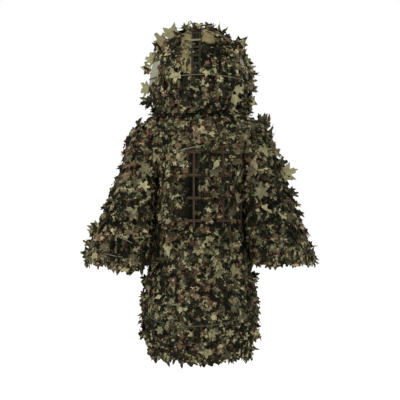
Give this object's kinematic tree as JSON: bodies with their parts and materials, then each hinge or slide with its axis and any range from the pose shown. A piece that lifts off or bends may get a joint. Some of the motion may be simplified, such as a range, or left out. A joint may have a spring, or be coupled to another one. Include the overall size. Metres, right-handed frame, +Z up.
{
  "type": "ghillie suit",
  "caption": "Hooded leaf camouflage smock with a wide hood, open bell sleeves, a thigh-length body, foliage ladders and sewn leaf trim.",
  "frame": {"origin": "base of the wearer's neck, in the middle of the neck opening", "axes": "+X wearer's left, +Y wearer's back, +Z up"},
  "size_m": [0.907, 0.3439, 1.3581],
  "materials": {
    "leaf_mesh": "printed open mesh, matt",
    "sheer_mesh": "see-through olive netting",
    "leaf_cloth": "laser-cut printed polyester, matt, paler reverse",
    "ladder_tape": "ribbed grosgrain tape",
    "binding": "folded woven binding with a stitched edge",
    "cord": "braided thin cord",
    "zip_metal": "blackened zip metal, worn at the edges",
    "zip_coil": "moulded nylon coil"
  },
  "bodies": {
    "torso": {"back_yoke": "leaf_mesh", "back_center": "leaf_mesh", "back_skirt": "leaf_mesh", "left_shoulder": "leaf_mesh", "right_shoulder": "leaf_mesh", "left_back_side": "leaf_mesh", "right_back_side": "leaf_mesh", "left_front_side": "leaf_mesh", "right_front_side": "leaf_mesh", "left_front": "leaf_mesh", "right_front": "leaf_mesh", "left_skirt": "leaf_mesh", "right_skirt": "leaf_mesh", "left_front_skirt": "leaf_mesh", "right_front_skirt": "leaf_mesh", "neck_band": "binding", "hem_band": "binding", "hanger_loop": "binding", "back_ladder_tapes": "ladder_tape", "back_ladder_rungs": "ladder_tape", "craft_cords": "cord", "lower_back_cord": "cord", "cord_anchors": "binding", "back_leaves": "leaf_cloth", "hem_leaves": "leaf_cloth", "left_zip_tape": "binding", "right_zip_tape": "binding", "zip_coil": "zip_coil", "zip_stops": "zip_metal"},
    "hood": {"hood_back": "leaf_mesh", "left_hood_lower": "leaf_mesh", "right_hood_lower": "leaf_mesh", "left_hood_window": "sheer_mesh", "right_hood_window": "sheer_mesh", "left_cheek": "leaf_mesh", "right_cheek": "leaf_mesh", "left_chin": "leaf_mesh", "right_chin": "leaf_mesh", "hood_brow": "leaf_mesh", "hood_crown": "leaf_mesh", "hood_ladder": "ladder_tape", "hood_cord": "cord", "hood_leaves": "leaf_cloth"},
    "left_sleeve": {"left_sleeve_outer": "leaf_mesh", "left_sleeve_back": "leaf_mesh", "left_sleeve_front": "leaf_mesh", "left_sleeve_inner": "leaf_mesh", "left_cuff": "binding", "left_sleeve_leaves": "leaf_cloth", "left_sleeve_cord": "cord"},
    "right_sleeve": {"right_sleeve_outer": "leaf_mesh", "right_sleeve_back": "leaf_mesh", "right_sleeve_front": "leaf_mesh", "right_sleeve_inner": "leaf_mesh", "right_cuff": "binding", "right_sleeve_leaves": "leaf_cloth"},
    "slider": {"zip_slider": "zip_metal"},
    "pull": {"zip_pull": "zip_metal"}
  },
  "joints": [
    {"name": "hood_fold_back", "type": "hinge", "parent": "torso", "child": "hood", "pos_m": [0, 0.118, 0.002], "axis": [-1, 0, 0], "range_deg": [0, 100]},
    {"name": "left_arm_raise", "type": "hinge", "parent": "torso", "child": "left_sleeve", "pos_m": [0.205, 0, -0.038], "axis": [0, -1, 0], "range_deg": [0, 70]},
    {"name": "right_arm_raise", "type": "hinge", "parent": "torso", "child": "right_sleeve", "pos_m": [-0.205, 0, -0.038], "axis": [0, 1, 0], "range_deg": [0, 70]},
    {"name": "zip_travel", "type": "slide", "parent": "torso", "child": "slider", "axis": [0, 0, -1], "range_m": [0, 0.455]},
    {"name": "pull_swing", "type": "hinge", "parent": "slider", "child": "pull", "pos_m": [0, -0.1447, -0.068], "axis": [-1, 0, 0], "range_deg": [0, 150]}
  ]
}
